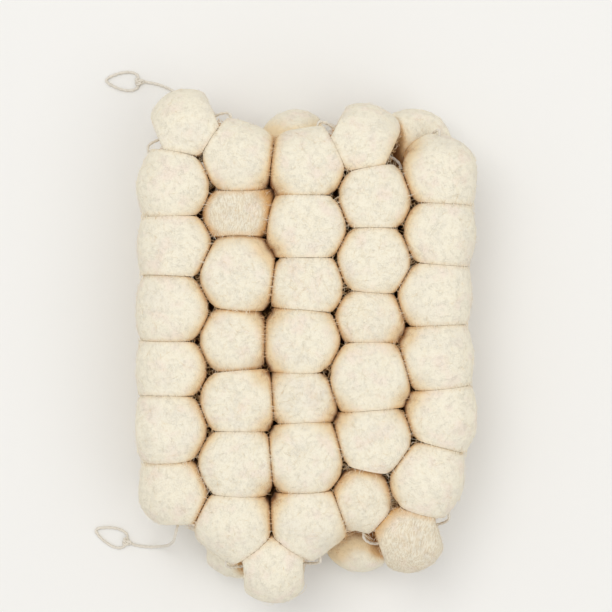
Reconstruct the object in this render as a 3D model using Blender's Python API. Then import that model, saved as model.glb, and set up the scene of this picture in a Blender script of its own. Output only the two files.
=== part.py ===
"""A garland of felted wool balls on a string, folded back and forth in two layers.

One string goes through all the balls. Five runs lie side by side in the upper layer and
four under them, each below the seam between two upper ones, and a ball lies across each
fold. All lengths in the script are millimetres, and each object is scaled to metres as it
is made. The runs lie along Y, and the flat spots under the lower balls stand on Z = 0.
"""

import math
import random
from collections import namedtuple

import bmesh
import bpy
from mathutils import Vector

NAME = "wool_garland"
METRES = 0.001

# Felt balls. Pressed between its neighbours the felt swells past a ball's free width by
# FULLNESS. SOFTNESS is the power that rounds the edges of its flats, and a plane further out
# than TOUCH times its radius leaves no flat.
BALL_WIDTH = 32.0
BALL_LENGTH = 26.2
WIDTH_SPREAD = 0.6
FULLNESS = 1.09
FOLD_LENGTH = 27.0
FOLD_REACH = 26.4
CLEARANCE = 0.3
SOFTNESS = 14
TOUCH = 0.985
LEAST_SLOPE = 0.05

# Faces of a ball: around the string, along it, and how far the last rings move off its ends
AROUND = 12
ALONG = 7
RING_SQUEEZE = 0.86
SHARP_ANGLE = math.radians(50)

# String. LEAN tips the balls beside a fold outwards, and ARC_PULL is how far the string
# keeps straight on where it leaves a ball there.
STRING_WIDTH = 1.2
BORE_WIDTH = 2.2
BORE_DIMPLE = 0.5
LEAN = 0.25
ARC_PULL = 9.0
ARC_STEPS = 5
SIDES_SETTING = 2

# Free string ends
TAIL_LENGTH = 61.0
TAIL_STEP = 3.2
CURVE_STEPS = 12
LOOP_LENGTH = 15.0
LOOP_WIDTH = 7.0
LOOP_TAPER = 0.35
LOOP_STEPS = 11
STRANDS_APART = 0.65
KNOT_WIDTH = 4.4
KNOT_SHAPE = (1.25, 0.95, 0.6)
KNOT_FACES = (8, 6)
FLOOR_GAP = 0.25
WELD = 1e-6

# Colours and roughness of the felt and the string
WOOL = ((0.83, 0.76, 0.62), 0.95)
COTTON = ((0.78, 0.74, 0.66), 0.85)

# Heights of the ball centres in the two layers
LOWER_Z = 14.8
UPPER_Z = LOWER_Z + 29.0

# Where the packed bundle was pressed flat: its top, and its sides along X
LID = 60.1
WALLS = (-75.1, 75.3)

# The middle of the whole garland, in the coordinates of the tables below
MIDDLE = Vector((0.1, -17.9, 0.0))

UP = Vector((0.0, 0.0, 1.0))
ALONG_RUNS = Vector((0.0, 1.0, 0.0))

# One row for each run, in the order of the string. way is +1 where the string goes up
# the table's Y, x and top place the run, and the tuples go from its top ball down: how
# long each ball is between its joins, how wide, how far it sits sideways and how much
# lower. fold_drop lowers the ball that lies across the fold after the run.
Run = namedtuple("Run", "way z x top lengths widths shifts drops fold_drop")


def even_run(way, x, top, count):
    """A hidden run of like balls in the lower layer."""
    return Run(way, LOWER_Z, x, top, (BALL_LENGTH,) * count, (BALL_WIDTH,) * count,
               (0.0,) * count, (0.0,) * count, 0.0)


RUNS = (
    Run(1, UPPER_Z, -58.4, 66.1, (26.5, 26.8, 28.0, 24.4, 27.7, 28.2),
        (32.0, 32.6, 31.8, 31.4, 32.2, 31.6), (0.5, 0.9, -0.5, -0.6, -1.0, 1.0),
        (0.0, 0.6, -0.4, 0.5, -0.3, 2.6), 2.5),
    Run(-1, UPPER_Z, -30.5, 77.1, (25.0, 23.4, 30.0, 27.3, 26.4, 27.1, 24.6),
        (31.4, 33.4, 33.2, 30.0, 33.0, 33.4, 32.4), (0.4, 0.4, 0.6, -1.5, 0.6, 0.4, -1.0),
        (0.2, 3.4, -0.6, 0.6, 0.0, -0.4, 1.6), 5.0),
    Run(1, UPPER_Z, 0.0, 74.1, (26.0, 26.5, 23.7, 26.5, 23.1, 28.9, 24.6),
        (32.4, 34.6, 33.4, 33.0, 30.4, 33.6, 32.6), (0.8, 0.6, 0.6, -1.5, -1.7, -0.5, 0.8),
        (-0.3, -0.8, 0.2, -0.4, 0.8, -0.6, 1.6), 1.5),
    Run(-1, UPPER_Z, 28.5, 59.0, (25.3, 27.2, 23.2, 28.6, 26.2, 26.1),
        (33.2, 33.4, 30.6, 35.0, 33.4, 27.0), (0.9, 0.9, -1.0, -1.0, 1.1, -4.2),
        (0.6, -0.2, 0.9, -0.5, 0.1, 1.2), 4.6),
    Run(1, UPPER_Z, 57.8, 70.5, (26.0, 26.0, 27.3, 27.3, 25.1, 28.6),
        (32.0, 31.8, 32.6, 32.0, 31.4, 32.4), (1.6, 0.5, -1.7, -0.6, 2.0, -5.0),
        (0.1, -0.4, 0.4, -0.2, 0.5, 0.2), 0.0),
    even_run(-1, 43.2, 60.0, 6),
    even_run(1, 14.4, 66.0, 6),
    even_run(-1, -14.6, 60.0, 6),
    even_run(1, -44.0, 62.0, 6),
)

# The free ends' routes past the outermost balls, as places that the string passes
FIRST_TAIL = (
    (-57.5, -100.0, 40.6), (-58.6, -103.8, 36.0), (-60.2, -106.0, 27.0),
    (-62.4, -107.8, 15.0), (-65.8, -109.0, 4.6), (-72.0, -109.6, 0.85),
    (-80.0, -108.0, 0.85), (-92.0, -102.0, 0.85),
)
LAST_TAIL = (
    (-44.4, 69.0, 13.9), (-46.0, 77.5, 8.0), (-49.5, 86.0, 1.8),
    (-56.0, 94.5, 0.85), (-65.0, 100.0, 0.85), (-76.0, 102.0, 0.85),
    (-88.0, 99.0, 0.85),
)


class Ball:
    """One felt ball: its middle, its size, and the planes where its neighbours stop it."""

    def __init__(self, centre, width, length, run):
        self.centre = Vector(centre)
        self.radius = width / 2 * FULLNESS
        self.length = length
        self.run = run
        self.planes = []
        self.entry = None
        self.exit = None

    def reach(self, direction):
        """How far the felt goes from the middle, rounded softly where planes meet."""
        free = self.radius ** -SOFTNESS
        total = free
        for normal, distance in self.planes:
            slope = normal.dot(direction)
            if slope > LEAST_SLOPE:
                flat = min(distance, self.radius * TOUCH) ** -SOFTNESS - free
                total += flat * slope ** SOFTNESS
        felt = total ** (-1 / SOFTNESS)
        if direction.z < 0:
            felt = min(felt, self.centre.z / -direction.z)
        return felt

    def surface(self, direction):
        return self.centre + direction * self.reach(direction)


def lay_run(run, number, rng):
    """The balls of one run, from its top down."""
    balls = []
    y = run.top
    rows = zip(run.lengths, run.widths, run.shifts, run.drops)
    for length, width, shift, drop in rows:
        width += rng.uniform(-WIDTH_SPREAD, WIDTH_SPREAD) * (run.z == LOWER_Z)
        balls.append(Ball((run.x + shift, y - length / 2, run.z - drop), width, length, number))
        y -= length
    return balls


def lay_fold(last, first, way, drop):
    """The ball that lies across a fold, as far from both of its neighbours."""
    across = (first.centre - last.centre).normalized()
    outward = way * (ALONG_RUNS - across * ALONG_RUNS.dot(across)).normalized()
    half = (first.centre - last.centre).length / 2
    middle = (first.centre + last.centre) / 2
    centre = middle + outward * math.sqrt(FOLD_REACH ** 2 - half ** 2) - UP * drop
    ball = Ball(centre, BALL_WIDTH, FOLD_LENGTH, None)
    for side in (-1, 1):
        ball.planes.append((across * side, FOLD_LENGTH / 2))
    return ball, across, outward


def lay_garland():
    """All the balls in the order of the string, and the folds between the runs."""
    rng = random.Random(64)
    runs = [lay_run(run, number, rng) for number, run in enumerate(RUNS)]
    chain = []
    folds = []
    for number, (run, balls) in enumerate(zip(RUNS, runs)):
        chain += balls[::-run.way]
        if number + 1 < len(RUNS):
            last = chain[-1]
            following = RUNS[number + 1]
            first = runs[number + 1][::-following.way][0]
            ball, across, outward = lay_fold(last, first, run.way, run.fold_drop)
            folds.append((last, ball, first, across, outward))
            chain.append(ball)
    return chain, folds


def press_together(chain):
    """Give each pair of neighbours the plane that parts them."""
    for index, ball in enumerate(chain):
        for other_index in range(index + 1, len(chain)):
            other = chain[other_index]
            between = other.centre - ball.centre
            apart = between.length
            if apart > ball.radius + other.radius:
                continue
            if other_index == index + 1 and ball.run is not None and ball.run == other.run:
                near = apart * ball.length / (ball.length + other.length)
            else:
                near = (apart ** 2 + ball.radius ** 2 - other.radius ** 2) / (2 * apart)
            normal = between / apart
            ball.planes.append((normal, near - CLEARANCE / 2))
            other.planes.append((-normal, apart - near - CLEARANCE / 2))


def box_in(chain):
    """Flatten the balls a little at the top and the sides of the packed bundle."""
    low, high = WALLS
    side = Vector((1.0, 0.0, 0.0))
    for ball in chain:
        ball.planes.append((UP, LID - ball.centre.z))
        ball.planes.append((side, high - ball.centre.x))
        ball.planes.append((-side, ball.centre.x - low))


def free_hole(ball, far_hole):
    """Flatten an outermost ball's free end and give the place of its string hole."""
    out = (ball.centre - far_hole).normalized()
    ball.planes.append((out, ball.length / 2))
    return ball.surface(out)


def thread_balls(chain, folds):
    """Find where the string goes into each ball and comes out of it."""
    for ball, other in zip(chain, chain[1:]):
        if ball.run is not None and ball.run == other.run:
            share = ball.length / (ball.length + other.length)
            ball.exit = ball.centre.lerp(other.centre, share)
            other.entry = ball.exit
    for last, ball, first, across, outward in folds:
        last.exit = last.surface((outward - across * LEAN).normalized())
        ball.entry = ball.surface(-across)
        ball.exit = ball.surface(across)
        first.entry = first.surface((outward + across * LEAN).normalized())
    chain[0].entry = free_hole(chain[0], chain[0].exit)
    chain[-1].exit = free_hole(chain[-1], chain[-1].entry)


def hermite(start, start_pull, end, end_pull, steps):
    """Points inside a smooth bend between two places."""
    points = []
    for step in range(1, steps + 1):
        t = step / (steps + 1)
        points.append(start * (2 * t ** 3 - 3 * t ** 2 + 1) + start_pull * (t ** 3 - 2 * t ** 2 + t)
                      + end * (3 * t ** 2 - 2 * t ** 3) + end_pull * (t ** 3 - t ** 2))
    return points


def string_route(chain):
    """The string's middle line from the first ball's outer hole to the last one's."""
    route = [chain[0].entry]
    for ball, other in zip(chain, chain[1:]):
        route.append(ball.exit)
        if (ball.exit - other.entry).length > CLEARANCE:
            leaving = (ball.exit - ball.entry).normalized() * ARC_PULL
            entering = (other.exit - other.entry).normalized() * ARC_PULL
            route += hermite(ball.exit, leaving, other.entry, entering, ARC_STEPS)
            route.append(other.entry)
    route.append(chain[-1].exit)
    return route


def axes_along(direction):
    """A frame whose third axis is the direction and whose first looks down."""
    down = -UP - direction * direction.dot(-UP)
    if down.length < LEAST_SLOPE:
        down = ALONG_RUNS - direction * direction.dot(ALONG_RUNS)
    first = down.normalized()
    return first, direction.cross(first), direction


def bridge(mesh, ring, other):
    """Join two rings whose vertices stand in the same order."""
    for here in range(AROUND):
        there = (here + 1) % AROUND
        mesh.faces.new((ring[here], ring[there], other[there], other[here]))


def turn_of(vert):
    """A sphere vertex's turn about the axis, shifted so that a face looks down."""
    return math.atan2(vert.co.y, vert.co.x) + math.pi / AROUND


def add_felt(mesh, ball):
    """A sphere pressed to the ball's shape and open at both ends of its bore."""
    first, second, third = axes_along((ball.exit - ball.entry).normalized())
    verts = bmesh.ops.create_uvsphere(mesh, u_segments=AROUND, v_segments=ALONG, radius=1)["verts"]
    poles = [vert for vert in verts if abs(vert.co.z) > 0.999]
    verts = [vert for vert in verts if vert not in poles]
    verts.sort(key=lambda vert: (round(vert.co.z, 4), turn_of(vert) % math.tau))
    for vert in verts:
        rise = math.asin(vert.co.z) * RING_SQUEEZE
        turn = turn_of(vert)
        level = math.cos(rise)
        direction = (first * math.cos(turn) * level + second * math.sin(turn) * level
                     + third * math.sin(rise))
        vert.co = ball.surface(direction)
    bmesh.ops.delete(mesh, geom=poles, context="VERTS")
    return verts[:AROUND], verts[-AROUND:]


def add_bore_ring(mesh, place, direction):
    """One ring of the string's bore, in step with the felt's rings."""
    first, second, _ = axes_along(direction)
    ring = []
    for step in range(AROUND):
        turn = math.tau * (step + 0.5) / AROUND
        spoke = first * math.cos(turn) + second * math.sin(turn)
        ring.append(mesh.verts.new(place + spoke * BORE_WIDTH / 2))
    return ring


def felt_mesh(balls):
    """The closed mesh of one ball, or of neighbours on the string felted together."""
    mesh = bmesh.new()
    way_in = (balls[0].exit - balls[0].entry).normalized()
    way_out = (balls[-1].exit - balls[-1].entry).normalized()
    rings = [add_felt(mesh, ball) for ball in balls]
    bores = [add_bore_ring(mesh, balls[0].entry + way_in * BORE_DIMPLE, way_in)]
    for ball, other in zip(balls, balls[1:]):
        bores.append(add_bore_ring(mesh, ball.exit, (other.exit - ball.entry).normalized()))
    bores.append(add_bore_ring(mesh, balls[-1].exit - way_out * BORE_DIMPLE, way_out))
    bridge(mesh, bores[0], rings[0][0])
    for ring, other in zip(rings, rings[1:]):
        bridge(mesh, ring[1], other[0])
    bridge(mesh, rings[-1][1], bores[-1])
    for bore, other in zip(bores, bores[1:]):
        bridge(mesh, bore, other)
    bmesh.ops.recalc_face_normals(mesh, faces=mesh.faces)
    return mesh


def finish(colour, roughness, name):
    """A plain material with the piece's colour."""
    material = bpy.data.materials.new(name)
    material.use_nodes = True
    shader = material.node_tree.nodes["Principled BSDF"]
    shader.inputs["Base Color"].default_value = (*colour, 1.0)
    shader.inputs["Roughness"].default_value = roughness
    shader.inputs["Metallic"].default_value = 0.0
    return material


def place(obj, collection, material):
    obj.data.materials.append(material)
    collection.objects.link(obj)
    return obj


def make_balls(balls, name, collection, material):
    """The object of one ball or of two joined ones, with its origin at their middle."""
    middle = sum((ball.centre for ball in balls), Vector()) / len(balls)
    mesh = felt_mesh(balls)
    bmesh.ops.translate(mesh, verts=mesh.verts, vec=-middle)
    bmesh.ops.scale(mesh, verts=mesh.verts, vec=(METRES,) * 3)
    data = bpy.data.meshes.new(name)
    mesh.to_mesh(data)
    mesh.free()
    data.shade_smooth()
    data.set_sharp_from_angle(angle=SHARP_ANGLE)
    obj = bpy.data.objects.new(name, data)
    obj.location = (middle - MIDDLE) * METRES
    return place(obj, collection, material)


def make_tube(points, name):
    """A round string along the points, as a curve object."""
    curve = bpy.data.curves.new(name, "CURVE")
    curve.dimensions = "3D"
    curve.bevel_depth = STRING_WIDTH / 2 * METRES
    curve.bevel_resolution = SIDES_SETTING
    curve.use_fill_caps = True
    spline = curve.splines.new("POLY")
    spline.points.add(len(points) - 1)
    for target, point in zip(spline.points, points):
        target.co = (*((point - MIDDLE) * METRES), 1.0)
    return bpy.data.objects.new(name, curve)


def catmull(points, steps):
    """A smooth curve through the given places."""
    ends = [points[0] * 2 - points[1], *points, points[-1] * 2 - points[-2]]
    curve = []
    for before, here, there, after in zip(ends, ends[1:], ends[2:], ends[3:]):
        for step in range(steps):
            t = step / steps
            curve.append((here * 2 + (there - before) * t
                          + (before * 2 - here * 5 + there * 4 - after) * t ** 2
                          + (here * 3 - before - there * 3 + after) * t ** 3) / 2)
    return curve + [points[-1]]


def walk(curve, length, step):
    """Even steps along a curve until the given length is used up."""
    count = round(length / step)
    wanted = [length * number / count for number in range(count + 1)]
    points = []
    done = 0.0
    for here, there in zip(curve, curve[1:]):
        span = (there - here).length
        while len(points) < len(wanted) and wanted[len(points)] <= done + span:
            points.append(here.lerp(there, (wanted[len(points)] - done) / span))
        done += span
    return points


def tail_route(start, places):
    """A free end's middle line to its knot, and on around its loop."""
    curve = catmull([start, *(Vector(point) for point in places)], CURVE_STEPS)
    points = walk(curve, TAIL_LENGTH, TAIL_STEP)
    for point in points:
        point.z = max(point.z, STRING_WIDTH / 2 + FLOOR_GAP)
    knot = points[-1]
    ahead = knot - points[-2]
    ahead.z = 0
    ahead.normalize()
    side = UP.cross(ahead)
    loop = []
    for step in range(LOOP_STEPS + 1):
        turn = math.pi * (2 * step / LOOP_STEPS - 1)
        along = (1 + math.cos(turn)) / 2
        sway = LOOP_WIDTH / 2 * math.sin(turn) * (1 - LOOP_TAPER * math.cos(turn))
        beside = math.copysign(STRING_WIDTH * STRANDS_APART, turn) * (1 - along)
        loop.append(knot + ahead * LOOP_LENGTH * along + side * (sway + beside))
    points[-1] = loop[0]
    return points + loop[1:], knot, ahead


def tube_mesh(curve, name):
    """The tube of a curve object as a mesh, with its caps welded on."""
    bpy.context.view_layer.update()
    evaluated = curve.evaluated_get(bpy.context.evaluated_depsgraph_get())
    data = bpy.data.meshes.new_from_object(evaluated)
    mesh = bmesh.new()
    mesh.from_mesh(data)
    bmesh.ops.remove_doubles(mesh, verts=mesh.verts, dist=WELD)
    bmesh.ops.recalc_face_normals(mesh, faces=mesh.faces)
    mesh.to_mesh(data)
    mesh.free()
    data.name = name
    return data


def make_knot(knot, ahead, name, cutters):
    """The knot's lump, which rests on the surface and lies along the string."""
    mesh = bmesh.new()
    around, along = KNOT_FACES
    bmesh.ops.create_uvsphere(mesh, u_segments=around, v_segments=along,
                              radius=KNOT_WIDTH / 2 * METRES)
    data = bpy.data.meshes.new(name)
    mesh.to_mesh(data)
    mesh.free()
    obj = bpy.data.objects.new(name, data)
    centre = Vector((knot.x, knot.y, KNOT_WIDTH / 2 * KNOT_SHAPE[2] + FLOOR_GAP))
    obj.location = (centre - MIDDLE) * METRES
    obj.rotation_euler = (0, 0, math.atan2(ahead.y, ahead.x))
    obj.scale = KNOT_SHAPE
    obj.hide_render = True
    obj.display_type = "WIRE"
    cutters.objects.link(obj)
    return obj


def make_tail(start, places, name, collection, cutters, material):
    """A free end of the string: one tube to the loop's end, and the knot on it."""
    points, knot, ahead = tail_route(start, places)
    curve = make_tube(points, name + "_line")
    collection.objects.link(curve)
    tail = place(bpy.data.objects.new(name, tube_mesh(curve, name)), collection, material)
    tail.matrix_world = curve.matrix_world
    bpy.data.objects.remove(curve)
    join = tail.modifiers.new("knot", "BOOLEAN")
    join.operation = "UNION"
    join.solver = "EXACT"
    join.object = make_knot(knot, ahead, name + "_knot", cutters)
    return tail


def make_collection(name):
    collection = bpy.data.collections.new(name)
    bpy.context.scene.collection.children.link(collection)
    return collection


def node_groups(chain):
    """Each upper ball and each fold ball alone, and the lower runs' balls in twos."""
    groups = []
    for ball in chain:
        lower = ball.run is not None and RUNS[ball.run].z == LOWER_Z
        if lower and groups and len(groups[-1]) == 1 and groups[-1][0].run == ball.run:
            groups[-1].append(ball)
        else:
            groups.append([ball])
    return groups


def main():
    for obj in list(bpy.data.objects):
        bpy.data.objects.remove(obj)
    parts = make_collection(NAME)
    cutters = make_collection("cutters")
    wool = finish(*WOOL, "wool_felt")
    cotton = finish(*COTTON, "cotton_string")

    chain, folds = lay_garland()
    press_together(chain)
    box_in(chain)
    thread_balls(chain, folds)
    number = 1
    for group in node_groups(chain):
        numbers = "_".join(f"{number + step:02d}" for step in range(len(group)))
        make_balls(group, "ball_" + numbers, parts, wool)
        number += len(group)

    route = string_route(chain)
    place(make_tube(route, "string"), parts, cotton)
    ends = ((chain[0].entry, chain[0].exit, FIRST_TAIL, "tail_first"),
            (chain[-1].exit, chain[-1].entry, LAST_TAIL, "tail_last"))
    for hole, inner, places, name in ends:
        start = hole + (hole - inner).normalized() * CLEARANCE
        make_tail(start, places, name, parts, cutters, cotton)


main()
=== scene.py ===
"""Looks of a wool garland: felted balls on a string, folded back and forth in two layers.

The layout is worked out in millimetres in its own axes, as in the part's source, and each
mesh goes to the frame in metres as it is made.
"""

import logging
import math
import random
from collections.abc import Iterable, Sequence
from dataclasses import dataclass, field
from enum import Enum

import bmesh
import bpy
import numpy as np
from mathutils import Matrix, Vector, noise


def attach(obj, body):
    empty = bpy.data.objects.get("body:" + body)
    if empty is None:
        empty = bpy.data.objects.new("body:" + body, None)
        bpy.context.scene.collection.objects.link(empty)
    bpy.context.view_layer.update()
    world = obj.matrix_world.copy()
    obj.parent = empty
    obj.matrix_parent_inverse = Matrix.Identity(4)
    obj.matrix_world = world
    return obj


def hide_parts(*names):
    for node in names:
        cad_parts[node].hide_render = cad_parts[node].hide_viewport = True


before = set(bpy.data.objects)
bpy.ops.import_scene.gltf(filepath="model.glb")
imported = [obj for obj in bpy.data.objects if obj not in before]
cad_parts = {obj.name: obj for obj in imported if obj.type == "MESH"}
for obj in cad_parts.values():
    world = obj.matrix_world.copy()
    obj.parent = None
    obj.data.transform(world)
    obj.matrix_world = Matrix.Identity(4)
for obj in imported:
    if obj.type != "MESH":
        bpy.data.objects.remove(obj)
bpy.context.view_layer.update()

log = logging.getLogger("garland")

METRES = 0.001
SHARP_ANGLE = math.radians(24.0)
MIDDLE = np.array((0.1, -17.9, 0.0))
UP = np.array((0.0, 0.0, 1.0))
ALONG_RUNS = np.array((0.0, 1.0, 0.0))
STEEP = 0.9
WOOL_SLOT = "wool_felt"
STRING_SLOT = "cotton_string"
FUZZ_BALLS = 10
LOWER_SEED = 500
LONG_SEED = 900

Colour = tuple[float, float, float]
Place = tuple[float, float, float]
Span = tuple[float, float]
Plane = tuple[np.ndarray, float]


class Layer(Enum):
    """The two layers of the bundle, by the height of their balls' middles."""

    LOWER = 14.8
    UPPER = 43.8


class Way(Enum):
    """Which way the string goes along a run."""

    UPWARD = 1
    DOWNWARD = -1


class Shape(Enum):
    """The kinds of loose hairs, each with the felt that it grows from.

    The values are the least and the most distance from a neighbour's plane, in millimetres,
    and the least and the most shade.
    """

    NAP = (0.5, math.inf, -math.inf, 0.4)
    STRAY = (0.9, math.inf, 0.35, 0.9)
    BRIDGE = (0.2, 1.7, -math.inf, 0.5)


def unit(vector: np.ndarray) -> np.ndarray:
    """The vector's direction; an array of vectors gives theirs."""
    return vector / np.linalg.norm(vector, axis=-1, keepdims=True)


def square(vector: np.ndarray, way: np.ndarray) -> np.ndarray:
    """The direction of the vector's part that is square to a way; arrays give theirs."""
    return unit(vector - way * np.sum(vector * way, axis=-1, keepdims=True))


def turned(first: np.ndarray, second: np.ndarray, angle: np.ndarray | float) -> np.ndarray:
    """The direction at an angle from the first one, towards the second, square to it."""
    return first * np.cos(angle) + second * np.sin(angle)


def to_frame(points: np.ndarray) -> np.ndarray:
    """Places of the layout, in millimetres, as places in the frame, in metres."""
    return (np.asarray(points) - MIDDLE) * METRES


# Shader building


class Socket:
    """A shader socket, which takes part in sums as a number does."""

    def __init__(self, tree: "Tree", link: bpy.types.NodeSocket) -> None:
        """Wrap the link, a node's output in the tree."""
        self.tree = tree
        self.link = link

    def sum(self, operation: str, first: "Value", second: "Value") -> "Socket":
        """One Math node.

        Args:
            operation: the Math node's operation.
            first: its first value.
            second: its second value.

        Returns:
            The node's result.
        """
        return self.tree.node("ShaderNodeMath", {"operation": operation}, {0: first, 1: second})

    def __add__(self, other: "Value") -> "Socket":
        """This value and the other."""
        return self.sum("ADD", self, other)

    __radd__ = __add__

    def __sub__(self, other: "Value") -> "Socket":
        """This value less the other."""
        return self.sum("SUBTRACT", self, other)

    def __rsub__(self, other: "Value") -> "Socket":
        """The other value less this one."""
        return self.sum("SUBTRACT", other, self)

    def __mul__(self, other: "Value") -> "Socket":
        """This value times the other."""
        return self.sum("MULTIPLY", self, other)

    __rmul__ = __mul__

    def __truediv__(self, other: "Value") -> "Socket":
        """This value over the other."""
        return self.sum("DIVIDE", self, other)

    def __abs__(self) -> "Socket":
        """This value without its sign."""
        return self.tree.node("ShaderNodeMath", {"operation": "ABSOLUTE"}, {0: self})

    def rise(self, low: float, high: float) -> "Socket":
        """A smooth step.

        Args:
            low: where the step is 0.
            high: where it is 1.

        Returns:
            The step at this value.
        """
        settings = {"interpolation_type": "SMOOTHSTEP"}
        return self.tree.node("ShaderNodeMapRange", settings,
                              {"Value": self, "From Min": low, "From Max": high})


Value = Socket | float


class Tree:
    """A material's nodes."""

    def __init__(self, name: str) -> None:
        """Start a material of that name with a bare shader."""
        self.material = bpy.data.materials.new(name)
        self.material.use_nodes = True
        self.nodes = self.material.node_tree.nodes
        self.links = self.material.node_tree.links
        self.shader = self.nodes["Principled BSDF"]

    def node(self, kind: str, settings: dict | None = None, values: dict | None = None,
             result: int | str = 0) -> Socket:
        """Add a node.

        Args:
            kind: the node's type.
            settings: its own settings, which are set first.
            values: values or links by socket name, identifier or number.
            result: which of its outputs to give back.

        Returns:
            That output.
        """
        made = self.nodes.new(kind)
        for key, setting in (settings or {}).items():
            setattr(made, key, setting)
        for key, value in (values or {}).items():
            self.feed(self._find(made.inputs, key), value)
        return Socket(self, self._find(made.outputs, result))

    def feed(self, socket: bpy.types.NodeSocket, value: object) -> None:
        """Link a socket to a value's node, or set it.

        Args:
            socket: a node's input.
            value: what goes in.
        """
        if isinstance(value, Socket):
            self.links.new(value.link, socket)
        else:
            socket.default_value = value

    def finish(self, **values: object) -> bpy.types.Material:
        """Feed the shader's sockets and give the material.

        Args:
            **values: values or links by socket name, with _ for each space.

        Returns:
            The material.
        """
        for key, value in values.items():
            self.feed(self.shader.inputs[key.replace("_", " ")], value)
        return self.material

    def mix(self, share: Value, first: object, second: object) -> Socket:
        """A colour between two, by share."""
        return self.node("ShaderNodeMix", {"data_type": "RGBA"},
                         {"Factor_Float": share, "A_Color": first, "B_Color": second},
                         "Result_Color")

    def stretched(self, place: Socket, scale: Place) -> Socket:
        """Coordinates times a scale for each axis."""
        return self.node("ShaderNodeVectorMath", {"operation": "MULTIPLY"},
                         {0: place, 1: scale})

    def noise(self, place: Socket, scale: float, detail: float) -> Socket:
        """Noise of that many lumps a unit, from 0 to 1."""
        return self.node("ShaderNodeTexNoise", {},
                         {"Vector": place, "Scale": scale, "Detail": detail})

    def relief(self, height: Socket, distance: float, strength: float) -> Socket:
        """A normal bent by a height, which is 1 for the given distance in metres."""
        return self.node("ShaderNodeBump", {}, {"Height": height, "Distance": distance,
                                                "Strength": strength})

    def attribute(self, name: str, result: str = "Fac") -> Socket:
        """What the mesh stores under that name."""
        return self.node("ShaderNodeAttribute", {"attribute_name": name}, {}, result)

    def place(self) -> Socket:
        """The object's own coordinates, in metres."""
        return self.node("ShaderNodeTexCoord", {}, {}, "Object")

    @staticmethod
    def _find(sockets: bpy.types.bpy_prop_collection, key: int | str) -> bpy.types.NodeSocket:
        """Find a node's input or output.

        Args:
            sockets: the node's inputs or outputs.
            key: its number, identifier or name.

        Returns:
            The socket.
        """
        if isinstance(key, int):
            return sockets[key]
        return next(socket for socket in sockets
                    if socket.enabled and key in (socket.identifier, socket.name))


def rgba(colour: Colour) -> tuple[float, float, float, float]:
    """An opaque colour for a socket."""
    return (*colour, 1.0)


# Finishes


@dataclass(frozen=True)
class Grain:
    """The felt's patterns, from 0 to 1: hairs three ways, streaks two ways, and patches."""

    first: Socket
    second: Socket
    third: Socket
    streaks: Socket
    cross: Socket
    grit: Socket
    patch: Socket
    grey: Socket


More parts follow.
